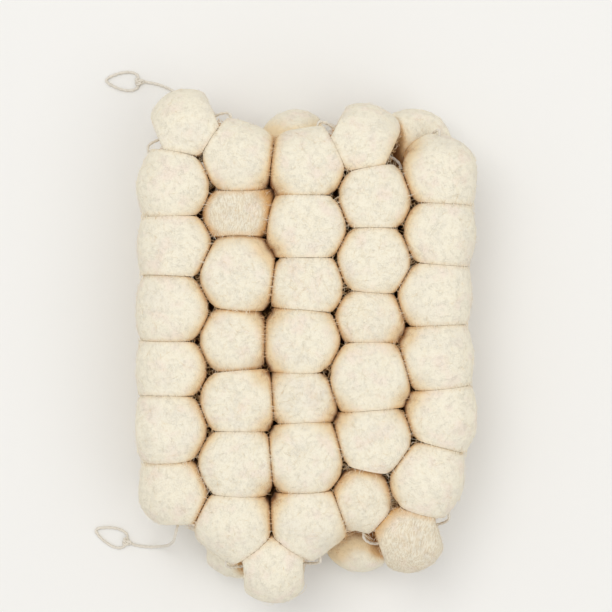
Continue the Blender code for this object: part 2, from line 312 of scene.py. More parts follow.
@dataclass(frozen=True)
class Felt:
    """Cream wool felted by hand: fine hairs in all directions and a little pink and grey in
    patches. Warm, tan and brown are painted shade where the balls meet and hide each
    other.

    Stretches and scales are in lumps a millimetre, the tan's reach is in millimetres and the
    relief's depth in metres. A span is where on its pattern a colour comes in, and a share
    is how much of it there is.
    """

    name: str = "wool_felt"
    cream: Colour = (0.89, 0.84, 0.70)
    blush: Colour = (0.88, 0.785, 0.675)
    ash: Colour = (0.83, 0.785, 0.68)
    beige: Colour = (0.62, 0.49, 0.32)
    pale_hair: Colour = (0.95, 0.91, 0.80)
    # warm, tan and brown are the colours of the painted shade between the balls
    warm: Colour = (0.86, 0.66, 0.38)
    tan: Colour = (0.66, 0.37, 0.13)
    brown: Colour = (0.36, 0.16, 0.05)
    sheen: Colour = (0.95, 0.88, 0.74)

    swirl_scale: float = 0.1
    swirl_pull: float = 4.0
    first_stretch: Place = (1.0, 1.0, 0.1)
    second_stretch: Place = (0.1, 0.9, 1.0)
    third_stretch: Place = (1.0, 0.12, 0.9)
    hair_width: float = 0.05
    break_scale: float = 0.4
    break_span: Span = (0.45, 0.6)
    streak_stretch: Place = (1.8, 1.8, 0.4)
    cross_stretch: Place = (0.45, 1.9, 1.9)
    streak_detail: float = 6.0
    grit_scale: float = 2.4
    patch_scale: float = 0.13
    grey_scale: float = 0.08

    blush_span: Span = (0.48, 0.72)
    ash_span: Span = (0.5, 0.72)
    ash_share: float = 0.6
    thin_span: Span = (0.34, 0.54)
    streak_share: float = 0.13
    cross_share: float = 0.07
    grit_span: Span = (0.35, 0.6)
    grit_share: float = 0.08
    first_share: float = 0.25
    second_share: float = 0.2
    third_share: float = 0.05
    dull_span: Span = (0.4, 0.6)
    dull_share: float = 0.5
    dull_streaks: float = 0.4

    # Painted shade: how far from a seam, and at how much shade, the warm, tan and brown come in
    tan_reach: float = 2.2
    ragged_streaks: float = 1.6
    ragged_cross: float = 1.0
    shut_streaks: float = 0.3
    painted_width_span: Span = (0.0, 0.25)
    painted_width_share: float = 3.2
    warm_span: Span = (0.02, 0.4)
    warm_share: float = 0.75
    tan_span: Span = (0.1, 0.4)
    tan_share: float = 0.55
    tan_least: float = 0.12
    tan_dull: float = 0.3
    brown_span: Span = (0.5, 1.1)

    heights: tuple[tuple[str, float], ...] = (
        ("streaks", 0.3), ("cross", 0.3), ("grit", 0.35), ("first", 0.25), ("second", 0.2),
        ("third", 0.2))
    relief_depth: float = 0.0005
    relief_strength: float = 0.8
    rough: float = 0.86
    rough_spread: float = 0.12

    def hairs(self, tree: Tree, place: Socket, stretch: Place) -> Socket:
        """Thin curved hairs along the axis that is stretched least.

        Args:
            tree: the material's nodes.
            place: coordinates in millimetres.
            stretch: lumps a millimetre along each axis.

        Returns:
            1 on a hair and 0 beside it.
        """
        level = tree.noise(tree.stretched(place, stretch), 1.0, 1.0)
        line = 1.0 - abs(level - 0.5).rise(0.0, self.hair_width)
        return line * tree.noise(place, self.break_scale, 1.0).rise(*self.break_span)

    def grain(self, tree: Tree) -> Grain:
        """The felt's patterns, some on coordinates that a slow swirl bends.

        Args:
            tree: the material's nodes.

        Returns:
            The patterns.
        """
        still = tree.attribute("grain", "Vector")
        swirl = tree.node("ShaderNodeTexNoise", {}, {"Vector": still, "Scale": self.swirl_scale,
                                                     "Detail": 2.0}, "Color")
        bend = tree.stretched(swirl, (self.swirl_pull,) * 3)
        place = tree.node("ShaderNodeVectorMath", {"operation": "ADD"}, {0: still, 1: bend})
        streaks = tree.stretched(place, self.streak_stretch)
        cross = tree.stretched(still, self.cross_stretch)
        return Grain(first=self.hairs(tree, place, self.first_stretch),
                     second=self.hairs(tree, place, self.second_stretch),
                     third=self.hairs(tree, still, self.third_stretch),
                     streaks=tree.noise(streaks, 1.0, self.streak_detail),
                     cross=tree.noise(cross, 1.0, self.streak_detail),
                     grit=tree.noise(still, self.grit_scale, 4.0),
                     patch=tree.noise(still, self.patch_scale, 2.0),
                     grey=tree.noise(place, self.grey_scale, 3.0))

    def wool(self, tree: Tree, grain: Grain, dull: Socket) -> Socket:
        """The wool's colour, beiger on the dull balls.

        Args:
            tree: the material's nodes.
            grain: the felt's patterns.
            dull: how dull the ball is.

        Returns:
            The colour.
        """
        colour = tree.mix(grain.patch.rise(*self.blush_span), rgba(self.cream), rgba(self.blush))
        grey = grain.grey.rise(*self.ash_span) * self.ash_share
        colour = tree.mix(grey, colour, rgba(self.ash))
        darker = ((1.0 - grain.streaks.rise(*self.thin_span)) * self.streak_share
                  + (1.0 - grain.cross.rise(*self.thin_span)) * self.cross_share
                  + (1.0 - grain.grit.rise(*self.grit_span)) * self.grit_share
                  + grain.third * self.third_share)
        colour = tree.mix(darker, colour, rgba(self.beige))
        paler = grain.first * self.first_share + grain.second * self.second_share
        colour = tree.mix(paler, colour, rgba(self.pale_hair))
        # The dull balls go towards beige, less so on their streaks
        dimmer = dull * (self.dull_share - grain.streaks.rise(*self.dull_span) * self.dull_streaks)
        return tree.mix(dimmer, colour, rgba(self.beige))

    def pressed(self, tree: Tree, grain: Grain, dull: Socket, colour: Socket) -> Socket:
        """The colour with painted shade: warm, tan and brown where the balls meet and hide
        each other, the tan over a wider band on the dull balls.

        Args:
            tree: the material's nodes.
            grain: the felt's patterns.
            dull: how dull the ball is.
            colour: the wool's own colour.

        Returns:
            The colour.
        """
        # Painted shade: shade is how much the balls around hide the felt, near how far it is from a
        # seam
        shut = tree.attribute("shade") + (grain.streaks - 0.5) * self.shut_streaks
        ragged = (tree.attribute("near") + (grain.streaks - 0.5) * self.ragged_streaks
                  + (grain.cross - 0.5) * self.ragged_cross)
        painted_width = self.tan_reach * (1.0 + dull * shut.rise(*self.painted_width_span) * self.painted_width_share)
        edge = 1.0 - (ragged / painted_width).rise(0.0, 1.0)
        colour = tree.mix(shut.rise(*self.warm_span) * self.warm_share, colour, rgba(self.warm))
        painted_tan = self.tan_least + dull * self.tan_dull + shut.rise(*self.tan_span) * self.tan_share
        colour = tree.mix(edge * painted_tan, colour, rgba(self.tan))
        return tree.mix(shut.rise(*self.brown_span), colour, rgba(self.brown))

    def material(self) -> bpy.types.Material:
        """The felt's material."""
        tree = Tree(self.name)
        grain = self.grain(tree)
        dull = tree.attribute("dull")
        # The wool's colour, then its painted shade
        colour = self.pressed(tree, grain, dull, self.wool(tree, grain, dull))
        first, *others = (getattr(grain, pattern) * height for pattern, height in self.heights)
        relief = tree.relief(sum(others, first), self.relief_depth, self.relief_strength)
        rough = self.rough + grain.streaks * self.rough_spread
        return tree.finish(Base_Color=colour, Roughness=rough, Normal=relief, Sheen_Weight=0.1,
                           Sheen_Roughness=0.6, Sheen_Tint=rgba(self.sheen),
                           Specular_IOR_Level=0.15)


@dataclass(frozen=True)
class Fibre:
    """Single wool hairs that stand off the felt, with painted shade: browner where the balls
    around hide them.
    """

    name: str = "wool_fibre"
    pale: Colour = (0.90, 0.84, 0.70)
    straw: Colour = (0.72, 0.55, 0.34)
    # brown is the painted shade's colour
    brown: Colour = (0.68, 0.42, 0.19)
    mottle_scale: float = 420.0
    straw_span: Span = (0.45, 0.8)
    brown_span: Span = (0.1, 0.6)
    rough: float = 0.75
    rough_spread: float = 0.2

    def material(self) -> bpy.types.Material:
        """The hairs' material."""
        tree = Tree(self.name)
        level = tree.noise(tree.place(), self.mottle_scale, 1.0)
        colour = tree.mix(level.rise(*self.straw_span), rgba(self.pale), rgba(self.straw))
        # Painted shade: browner where the balls around hide the hair
        shade = tree.attribute("shade").rise(*self.brown_span)
        colour = tree.mix(shade, colour, rgba(self.brown))
        return tree.finish(Base_Color=colour, Roughness=self.rough + level * self.rough_spread,
                           Specular_IOR_Level=0.25)


@dataclass(frozen=True)
class Cotton:
    """Two-ply cotton string."""

    name: str = "cotton_string"
    pale: Colour = (0.80, 0.75, 0.66)
    grey: Colour = (0.55, 0.51, 0.45)
    fluff_scale: float = 2600.0
    fluff_span: Span = (0.3, 0.6)
    fluff_share: float = 0.6
    patch_scale: float = 160.0
    patch_share: float = 0.15
    rough: float = 0.8
    rough_spread: float = 0.15
    relief_depth: float = 0.00008
    relief_strength: float = 0.8

    def material(self) -> bpy.types.Material:
        """The string's material."""
        tree = Tree(self.name)
        place = tree.place()
        fluff = tree.noise(place, self.fluff_scale, 3.0)
        patch = tree.noise(place, self.patch_scale, 2.0)
        greyer = (1.0 - fluff.rise(*self.fluff_span)) * self.fluff_share + patch * self.patch_share
        colour = tree.mix(greyer, rgba(self.pale), rgba(self.grey))
        relief = tree.relief(fluff, self.relief_depth, self.relief_strength)
        return tree.finish(Base_Color=colour, Roughness=self.rough + fluff * self.rough_spread,
                           Normal=relief)


@dataclass(frozen=True)
class PaleFloor:
    """The studio's floor."""

    name: str = "pale_floor"
    colour: Colour = (0.86, 0.855, 0.84)
    dimmer: Colour = (0.82, 0.815, 0.80)
    worn_scale: float = 5.0
    worn_share: float = 0.5
    rough: float = 0.8
    rough_spread: float = 0.1

    def material(self) -> bpy.types.Material:
        """The floor's material."""
        tree = Tree(self.name)
        level = tree.noise(tree.place(), self.worn_scale, 2.0)
        colour = tree.mix(level * self.worn_share, rgba(self.colour), rgba(self.dimmer))
        return tree.finish(Base_Color=colour, Roughness=self.rough + level * self.rough_spread)


# The garland's layout


@dataclass(frozen=True)
class Run:
    """One straight stretch of balls, from its top ball down.

    Lengths are those along the string, widths the balls' own, shifts how far each sits
    sideways and drops how much lower. fold_drop lowers the ball in the fold that follows.
    """

    way: Way
    layer: Layer
    x: float
    top: float
    lengths: tuple[float, ...]
    widths: tuple[float, ...]
    shifts: tuple[float, ...]
    drops: tuple[float, ...]
    fold_drop: float


BALL_WIDTH = 32.0
BALL_LENGTH = 26.2


def even_run(way: Way, x: float, top: float, count: int) -> Run:
    """A hidden run of like balls in the lower layer.

    Args:
        way: which way the string goes.
        x: the run's place across the bundle.
        top: where its top ball starts.
        count: how many balls it has.

    Returns:
        The run.
    """
    level = (0.0,) * count
    return Run(way, Layer.LOWER, x, top, (BALL_LENGTH,) * count, (BALL_WIDTH,) * count,
               level, level, 0.0)


RUNS = (
    Run(Way.UPWARD, Layer.UPPER, -58.4, 66.1, (26.5, 26.8, 28.0, 24.4, 27.7, 28.2),
        (32.0, 32.6, 31.8, 31.4, 32.2, 31.6), (0.5, 0.9, -0.5, -0.6, -1.0, 1.0),
        (0.0, 0.6, -0.4, 0.5, -0.3, 2.6), 2.5),
    Run(Way.DOWNWARD, Layer.UPPER, -30.5, 77.1, (25.0, 23.4, 30.0, 27.3, 26.4, 27.1, 24.6),
        (31.4, 33.4, 33.2, 30.0, 33.0, 33.4, 32.4), (0.4, 0.4, 0.6, -1.5, 0.6, 0.4, -1.0),
        (0.2, 3.4, -0.6, 0.6, 0.0, -0.4, 1.6), 5.0),
    Run(Way.UPWARD, Layer.UPPER, 0.0, 74.1, (26.0, 26.5, 23.7, 26.5, 23.1, 28.9, 24.6),
        (32.4, 34.6, 33.4, 33.0, 30.4, 33.6, 32.6), (0.8, 0.6, 0.6, -1.5, -1.7, -0.5, 0.8),
        (-0.3, -0.8, 0.2, -0.4, 0.8, -0.6, 1.6), 1.5),
    Run(Way.DOWNWARD, Layer.UPPER, 28.5, 59.0, (25.3, 27.2, 23.2, 28.6, 26.2, 26.1),
        (33.2, 33.4, 30.6, 35.0, 33.4, 27.0), (0.9, 0.9, -1.0, -1.0, 1.1, -4.2),
        (0.6, -0.2, 0.9, -0.5, 0.1, 1.2), 4.6),
    Run(Way.UPWARD, Layer.UPPER, 57.8, 70.5, (26.0, 26.0, 27.3, 27.3, 25.1, 28.6),
        (32.0, 31.8, 32.6, 32.0, 31.4, 32.4), (1.6, 0.5, -1.7, -0.6, 2.0, -5.0),
        (0.1, -0.4, 0.4, -0.2, 0.5, 0.2), 0.0),
    even_run(Way.DOWNWARD, 43.2, 60.0, 6),
    even_run(Way.UPWARD, 14.4, 66.0, 6),
    even_run(Way.DOWNWARD, -14.6, 60.0, 6),
    even_run(Way.UPWARD, -44.0, 62.0, 6),
)

# The free ends' routes past the outermost balls, as places that the string passes
FIRST_TAIL = (
    (-57.5, -100.0, 40.6), (-58.6, -103.8, 36.0), (-60.2, -106.0, 27.0),
    (-62.4, -107.8, 15.0), (-65.8, -109.0, 4.6), (-72.0, -109.6, 0.85),
    (-80.0, -108.0, 0.85), (-92.0, -102.0, 0.85),
)
LAST_TAIL = (
    (-44.4, 69.0, 13.9), (-46.0, 77.5, 8.0), (-49.5, 86.0, 1.8),
    (-56.0, 94.5, 0.85), (-65.0, 100.0, 0.85), (-76.0, 102.0, 0.85),
    (-88.0, 99.0, 0.85),
)


@dataclass
class Ball:
    """One felt ball: its middle, its size, and the planes where its neighbours stop it.

    The constants shape every ball's felt. It is fuller than its solid, swells towards its
    neighbours, has soft-edged flats where it is pressed, and draws back unevenly at the
    corners between three balls.
    """

    centre: np.ndarray
    width: float
    length: float
    layer: Layer
    run: int | None = None
    dull: float = 0.0
    planes: list[Plane] = field(default_factory=list)
    joins: list[Plane] = field(default_factory=list)
    neighbours: list[Plane] = field(default_factory=list)
    around: list["Ball"] = field(default_factory=list)
    entry: np.ndarray = field(default_factory=lambda: np.zeros(3))
    exit: np.ndarray = field(default_factory=lambda: np.zeros(3))
    holes: list[np.ndarray] = field(default_factory=list)

    FULLNESS = 1.09
    BULGE = 0.08
    JOIN_BULGE = 0.115
    BULGE_FROM = 0.3
    BULGE_FULL = 0.75
    SOFTNESS = 40
    JOIN_SOFTNESS = 240
    CORNER_DEPTH = 1.7
    CORNER_WIDTH = 1.7
    CORNER_SHARE = 0.7
    CORNER_SPREAD = 0.5
    UNEVEN = (7.3, 5.9)
    TOUCH = 0.985
    LEAST_SLOPE = 0.05
    LEAST_LENGTH = 1e-9
    SNAP = 0.55
    SNAP_ROUNDS = 4

    @property
    def radius(self) -> float:
        """The felt's free radius."""
        return self.width / 2 * self.FULLNESS

    def reach(self, ways: np.ndarray) -> np.ndarray:
        """How far the felt goes from the middle, rounded softly where planes meet.

        Args:
            ways: directions from the middle.

        Returns:
            The felt's distance in each of them.
        """
        felt = self._flatten(ways, self._loose(ways), self.joins, self.JOIN_SOFTNESS)
        felt = self._flatten(ways, felt, self.planes, self.SOFTNESS)
        felt = self._draw_back(ways, felt)
        down = ways[:, 2] < 0
        felt[down] = np.minimum(felt[down], self.centre[2] / -ways[down, 2])
        return felt

    def _loose(self, ways: np.ndarray) -> np.ndarray:
        """How far the felt would go with no flats: it swells towards the neighbours.

        Args:
            ways: directions from the middle.

        Returns:
            The felt's distance in each of them.
        """
        swell = np.zeros(len(ways))
        for planes, most in ((self.neighbours, self.BULGE), (self.joins, self.JOIN_BULGE)):
            for normal, _ in planes:
                share = (ways @ normal - self.BULGE_FROM) / (self.BULGE_FULL - self.BULGE_FROM)
                share = np.clip(share, 0.0, 1.0)
                swell = np.maximum(swell, most * share ** 2 * (3.0 - 2.0 * share))
        return self.radius * (1.0 + swell)

    def _flatten(self, ways: np.ndarray, felt: np.ndarray, planes: list[Plane],
                 softness: int) -> np.ndarray:
        """Press flats into the felt.

        Args:
            ways: directions from the middle.
            felt: how far the felt goes in each of them.
            planes: the flats, each by its normal and its distance from the middle.
            softness: the power that rounds the edges of the flats.

        Returns:
            How far the pressed felt goes.
        """
        total = (felt / self.radius) ** -softness
        for normal, distance in planes:
            slope = ways @ normal
            facing = slope > self.LEAST_SLOPE
            flat = min(distance / self.radius, self.TOUCH)
            total[facing] += (slope[facing] / flat) ** softness
        return total ** (-1 / softness) * self.radius

    def _draw_back(self, ways: np.ndarray, felt: np.ndarray) -> np.ndarray:
        """Draw the felt back unevenly where it meets two neighbours at once.

        Args:
            ways: directions from the middle.
            felt: how far the felt goes in each of them.

        Returns:
            How far it goes once it is drawn back.
        """
        if len(self.neighbours) < 2:
            return felt
        offsets = ways * felt[:, None]
        gaps = np.sort([distance - offsets @ normal for normal, distance in self.neighbours],
                       axis=0)
        places = self.centre + offsets
        uneven = np.sin(places[:, 0] / self.UNEVEN[0]) * np.sin(places[:, 1] / self.UNEVEN[1])
        corner = np.exp(-np.maximum(gaps[1], 0.0) / self.CORNER_WIDTH)
        depth = self.CORNER_SHARE + self.CORNER_SPREAD * uneven
        return felt - self.CORNER_DEPTH * corner * depth

    def snapped(self, ways: np.ndarray, step: float) -> np.ndarray:
        """Move the directions beside a flat's edge onto it, so that the seam stays sharp.

        Args:
            ways: directions from the middle.
            step: the angle between two of them that lie side by side.

        Returns:
            The directions.
        """
        ways = ways.copy()
        for normal, distance in self.neighbours:
            others = [plane for plane in self.joins + self.planes if plane[0] is not normal]
            slope = np.clip(ways @ normal, -1.0, 1.0)
            side = ways - normal * slope[:, None]
            side /= np.maximum(np.linalg.norm(side, axis=1, keepdims=True), self.LEAST_LENGTH)
            edge = np.full(len(ways), math.acos(min(distance / self.radius, 1.0)))
            moved = turned(normal, side, edge[:, None])
            for _ in range(self.SNAP_ROUNDS):
                felt = self._flatten(moved, self._loose(moved), others, self.JOIN_SOFTNESS)
                edge = np.arccos(np.clip(distance / felt, -1.0, 1.0))
                moved = turned(normal, side, edge[:, None])
            beside = abs(np.arccos(slope) - edge) < step * self.SNAP
            ways[beside] = moved[beside]
        return ways

    def surface(self, way: np.ndarray) -> np.ndarray:
        """The felt's place in one direction."""
        return self.centre + way * self.reach(way[None])[0]

    def near(self, points: np.ndarray) -> np.ndarray:
        """How far points of the felt are from the nearest neighbour's plane.

        Args:
            points: places on the felt or just above it.

        Returns:
            The distance of each.
        """
        offsets = points - self.centre
        least = np.full(len(points), self.radius)
        for normal, distance in self.neighbours:
            least = np.minimum(least, distance - offsets @ normal)
        return least

    def shade(self, points: np.ndarray) -> np.ndarray:
        """How much the balls around hide of what points of the felt face.

        Args:
            points: places on the felt or just above it.

        Returns:
            From 0 in the open to 1 and more deep between the balls, for each point.
        """
        ways = unit(points - self.centre)
        total = np.zeros(len(points))
        for other in self.around:
            between = other.centre - points
            apart = np.linalg.norm(between, axis=1)
            facing = np.sum(ways * between, axis=1) / apart
            total += np.clip(facing, 0.0, 1.0) * np.minimum(other.radius / apart, 1.0) ** 2
        return total


class Garland:
    """All the balls in the order of the string, and the folds between the runs.

    DULL says how dull the balls of those numbers are. LOOSE lists the balls with long hairs,
    twice where a ball has twice as many.
    """

    SEED = 64
    FOLD_LENGTH = 27.0
    FOLD_REACH = 26.4
    CLEARANCE = 0.3
    FELT_GAP = 0.02
    AROUND = 60.0
    WIDTH_SPREAD = 0.6
    LEAN = 0.25
    ARC_PULL = 9.0
    TOP = 60.1
    SIDES = (-75.1, 75.3)
    DULL = {9: 1.0, 30: 1.1, 29: 0.15, 1: 0.15, 26: 0.1}
    LOOSE = (9, 15, 18, 20, 26, 28, 29, 30, 30)

    def __init__(self) -> None:
        """Lay the balls out, press them together and thread them."""
        self.chain: list[Ball] = []
        self.folds: list[tuple[Ball, Ball, Ball, np.ndarray, np.ndarray]] = []
        self._lay()
        self._press()
        self._even_out()
        self._thread()
        for number, dull in self.DULL.items():
            self.chain[number - 1].dull = dull

    def _lay(self) -> None:
        """Put the balls of each run and each fold in their places."""
        rng = random.Random(self.SEED)
        runs = [self._lay_run(run, number, rng) for number, run in enumerate(RUNS)]
        for number, (run, balls) in enumerate(zip(RUNS, runs)):
            self.chain += balls[::-run.way.value]
            if number + 1 < len(RUNS):
                following = RUNS[number + 1]
                first = runs[number + 1][::-following.way.value][0]
                self._lay_fold(self.chain[-1], first, run)

    def _lay_run(self, run: Run, number: int, rng: random.Random) -> list[Ball]:
        """Put the balls of one run in their places.

        Args:
            run: the run.
            number: its number.
            rng: what varies the hidden balls' widths.

        Returns:
            The balls, from the top down.
        """
        balls = []
        y = run.top
        rows = zip(run.lengths, run.widths, run.shifts, run.drops)
        for length, width, shift, drop in rows:
            spread = rng.uniform(-self.WIDTH_SPREAD, self.WIDTH_SPREAD)
            width += spread * (run.layer is Layer.LOWER)
            centre = np.array((run.x + shift, y - length / 2, run.layer.value - drop))
            balls.append(Ball(centre, width, length, run.layer, number))
            y -= length
        return balls

    def _lay_fold(self, last: Ball, first: Ball, run: Run) -> None:
        """Add the ball that lies across the fold after a run.

        Args:
            last: the run's last ball.
            first: the next run's first ball.
            run: the run.
        """
        between = first.centre - last.centre
        across = unit(between)
        outward = run.way.value * square(ALONG_RUNS, across)
        half = np.linalg.norm(between) / 2
        out = math.sqrt(self.FOLD_REACH ** 2 - half ** 2)
        centre = (first.centre + last.centre) / 2 + outward * out - UP * run.fold_drop
        ball = Ball(centre, BALL_WIDTH, self.FOLD_LENGTH, last.layer)
        for side in (-1, 1):
            ball.planes.append((across * side, self.FOLD_LENGTH / 2))
        self.folds.append((last, ball, first, across, outward))
        self.chain.append(ball)

    def _press(self) -> None:
        """Give each pair of neighbours the plane that parts them."""
        for index, ball in enumerate(self.chain):
            for other_index in range(index + 1, len(self.chain)):
                other = self.chain[other_index]
                between = other.centre - ball.centre
                apart = np.linalg.norm(between)
                if apart < self.AROUND:
                    ball.around.append(other)
                    other.around.append(ball)
                if apart > ball.radius + other.radius:
                    continue
                joined = other_index == index + 1
                if joined and ball.run is not None and ball.run == other.run:
                    near = apart * ball.length / (ball.length + other.length)
                else:
                    near = (apart ** 2 + ball.radius ** 2 - other.radius ** 2) / (2 * apart)
                normal = between / apart
                self._part(ball, normal, near, joined)
                self._part(other, -normal, apart - near, joined)

    def _part(self, ball: Ball, normal: np.ndarray, distance: float, joined: bool) -> None:
        """Stop a ball at the plane towards a neighbour.

        Args:
            ball: the ball.
            normal: the way to the neighbour.
            distance: how far along it the middle of the gap is.
            joined: whether the string joins the two.
        """
        plane = (normal, distance - self.FELT_GAP / 2)
        (ball.joins if joined else ball.planes).append(plane)
        ball.neighbours.append(plane)

    def _even_out(self) -> None:
        """Flatten the balls a little at the bundle's top and long sides."""
        low, high = self.SIDES
        side = np.array((1.0, 0.0, 0.0))
        for ball in self.chain:
            ball.planes += [(UP, self.TOP - ball.centre[2]), (side, high - ball.centre[0]),
                            (-side, ball.centre[0] - low)]

    def _thread(self) -> None:
        """Find where the string goes into each ball and comes out of it."""
        for ball, other in zip(self.chain, self.chain[1:]):
            if ball.run is not None and ball.run == other.run:
                share = ball.length / (ball.length + other.length)
                ball.exit = ball.centre + (other.centre - ball.centre) * share
                other.entry = ball.exit
        for last, ball, first, across, outward in self.folds:
            last.exit = last.surface(unit(outward - across * self.LEAN))
            ball.entry = ball.surface(-across)
            ball.exit = ball.surface(across)
            first.entry = first.surface(unit(outward + across * self.LEAN))
            last.holes.append(last.exit)
            ball.holes += [ball.entry, ball.exit]
            first.holes.append(first.entry)
        self.chain[0].entry = self._free_hole(self.chain[0], self.chain[0].exit)
        self.chain[-1].exit = self._free_hole(self.chain[-1], self.chain[-1].entry)

    @staticmethod
    def _free_hole(ball: Ball, far_hole: np.ndarray) -> np.ndarray:
        """Flatten an outermost ball's free end, where the string leaves the garland.

        Args:
            ball: the first or the last ball.
            far_hole: the place of its other string hole.

        Returns:
            The place of the hole at the free end.
        """
        out = unit(ball.centre - far_hole)
        ball.planes.append((out, ball.length / 2))
        hole = ball.surface(out)
        ball.holes.append(hole)
        return hole

    def groups(self) -> Iterable[list[tuple[int, Ball]]]:
        """The balls of each node: single, or in twos in the lower runs.

        Yields:
            A node's balls with their numbers.
        """
        group: list[tuple[int, Ball]] = []
        for number, ball in enumerate(self.chain, 1):
            pair = (len(group) == 1 and ball.layer is Layer.LOWER and ball.run is not None
                    and group[0][1].run == ball.run)
            if group and not pair:
                yield group
                group = []
            group.append((number, ball))
        yield group

    def string_route(self, fine: int) -> np.ndarray:
        """The string's middle line.

        Args:
            fine: how many points each bend between two balls has.

        Returns:
            The line's points.
        """
        route = [self.chain[0].entry]
        for ball, other in zip(self.chain, self.chain[1:]):
            route.append(ball.exit)
            if np.linalg.norm(ball.exit - other.entry) > self.CLEARANCE:
                leaving = unit(ball.exit - ball.entry) * self.ARC_PULL
                entering = unit(other.exit - other.entry) * self.ARC_PULL
                route += hermite(ball.exit, leaving, other.entry, entering, fine)
                route.append(other.entry)
        route.append(self.chain[-1].exit)
        return np.array(route)


def hermite(start: np.ndarray, start_pull: np.ndarray, end: np.ndarray,
            end_pull: np.ndarray, steps: int) -> list[np.ndarray]:
    """Points inside a smooth bend between two places.

    Args:
        start: where it starts.
        start_pull: which way, and how far, it keeps straight on there.
        end: where it ends.
        end_pull: the same for its end.
        steps: how many points.

    Returns:
        The points.
    """
    points = []
    for step in range(1, steps + 1):
        t = step / (steps + 1)
        points.append(start * (2 * t ** 3 - 3 * t ** 2 + 1) + start_pull * (t ** 3 - 2 * t ** 2 + t)
                      + end * (3 * t ** 2 - 2 * t ** 3) + end_pull * (t ** 3 - t ** 2))
    return points


def catmull(points: Sequence[np.ndarray], steps: int) -> np.ndarray:
    """A smooth curve through the given places.

    Args:
        points: the places.
        steps: how many steps there are between two of them.

    Returns:
        The curve's points.
    """
    ends = [points[0] * 2 - points[1], *points, points[-1] * 2 - points[-2]]
    curve = []
    for before, here, there, after in zip(ends, ends[1:], ends[2:], ends[3:]):
        for step in range(steps):
            t = step / steps
            curve.append((here * 2 + (there - before) * t
                          + (before * 2 - here * 5 + there * 4 - after) * t ** 2
                          + (here * 3 - before - there * 3 + after) * t ** 3) / 2)
    return np.array([*curve, points[-1]])


def distances(line: np.ndarray) -> np.ndarray:
    """How far along a line each of its points is."""
    steps = np.linalg.norm(np.diff(line, axis=0), axis=1)
    return np.concatenate(([0.0], np.cumsum(steps)))


def walk(curve: np.ndarray, step: float, length: float | None = None) -> np.ndarray:
    """Even steps along a curve.

    Args:
        curve: its points.
        step: about how far apart the new points are.
        length: how much of the curve to follow, or all of it.

    Returns:
        The new points.
    """
    done = distances(curve)
    end = done[-1] if length is None else length
    wanted = np.linspace(0.0, end, round(end / step) + 1)
    return np.stack([np.interp(wanted, done, curve[:, axis]) for axis in range(3)], axis=1)


# Meshes


def add_object(name: str, data: bpy.types.ID) -> bpy.types.Object:
    """Put a mesh, a lamp or a camera in the scene.

    Args:
        name: the object's name.
        data: the mesh, lamp or camera.

    Returns:
        The object.
    """
    obj =bpy.data.objects.new(name, data)
    bpy.context.scene.collection.objects.link(obj)
    return obj


def make_piece(name: str, points: np.ndarray, faces: Sequence[Sequence[int]],
               material: bpy.types.Material, slot: str, *nodes: str) -> bpy.types.Object:
    """A smooth piece of the garland.

    Args:
        name: the piece's name.
        points: its vertices, as places in the layout.
        faces: its faces, by vertex number.
        material: its finish.
        slot: not used.
        *nodes: the nodes that the piece stands for.

    Returns:
        The piece.
    """
    data = bpy.data.meshes.new(name)
    data.from_pydata(to_frame(points).tolist(), [], [list(face) for face in faces])
    data.validate()
    data.shade_smooth()
    data.set_sharp_from_angle(angle=SHARP_ANGLE)
    data.materials.append(material)
    piece = add_object(name, data)
    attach(piece, "root")
    if nodes:
        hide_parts(*nodes)
    log.info("%s: %d faces", name, len(data.polygons))
    return piece


def write_attribute(data: bpy.types.Mesh, name: str, values: np.ndarray) -> None:
    """Store a number, or a vector, for each vertex.

    Args:
        data: the mesh.
        name: the attribute's name.
        values: one row for each vertex.
    """
    kind, key = ("FLOAT_VECTOR", "vector") if values.ndim == 2 else ("FLOAT", "value")
    attribute = data.attributes.new(name, kind, "POINT")
    attribute.data.foreach_set(key, values.astype(np.float32).ravel())


def side_frames(points: np.ndarray, closed: bool) -> tuple[np.ndarray, np.ndarray]:
    """Two directions across a line at each of its points, which turn as little as they can.

    Args:
        points: the line's points.
        closed: whether its end meets its start.

    Returns:
        The first and the second direction at each point.
    """
    if closed:
        ahead = np.roll(points, -1, axis=0) - np.roll(points, 1, axis=0)
    else:
        ahead = np.gradient(points, axis=0)
    ahead = unit(ahead)
    guess = UP if abs(ahead[0, 2]) < STEEP else ALONG_RUNS
    firsts = [square(guess, ahead[0])]
    for way in ahead[1:]:
        firsts.append(square(firsts[-1], way))
    first = np.array(firsts)
    return first, np.cross(ahead, first)


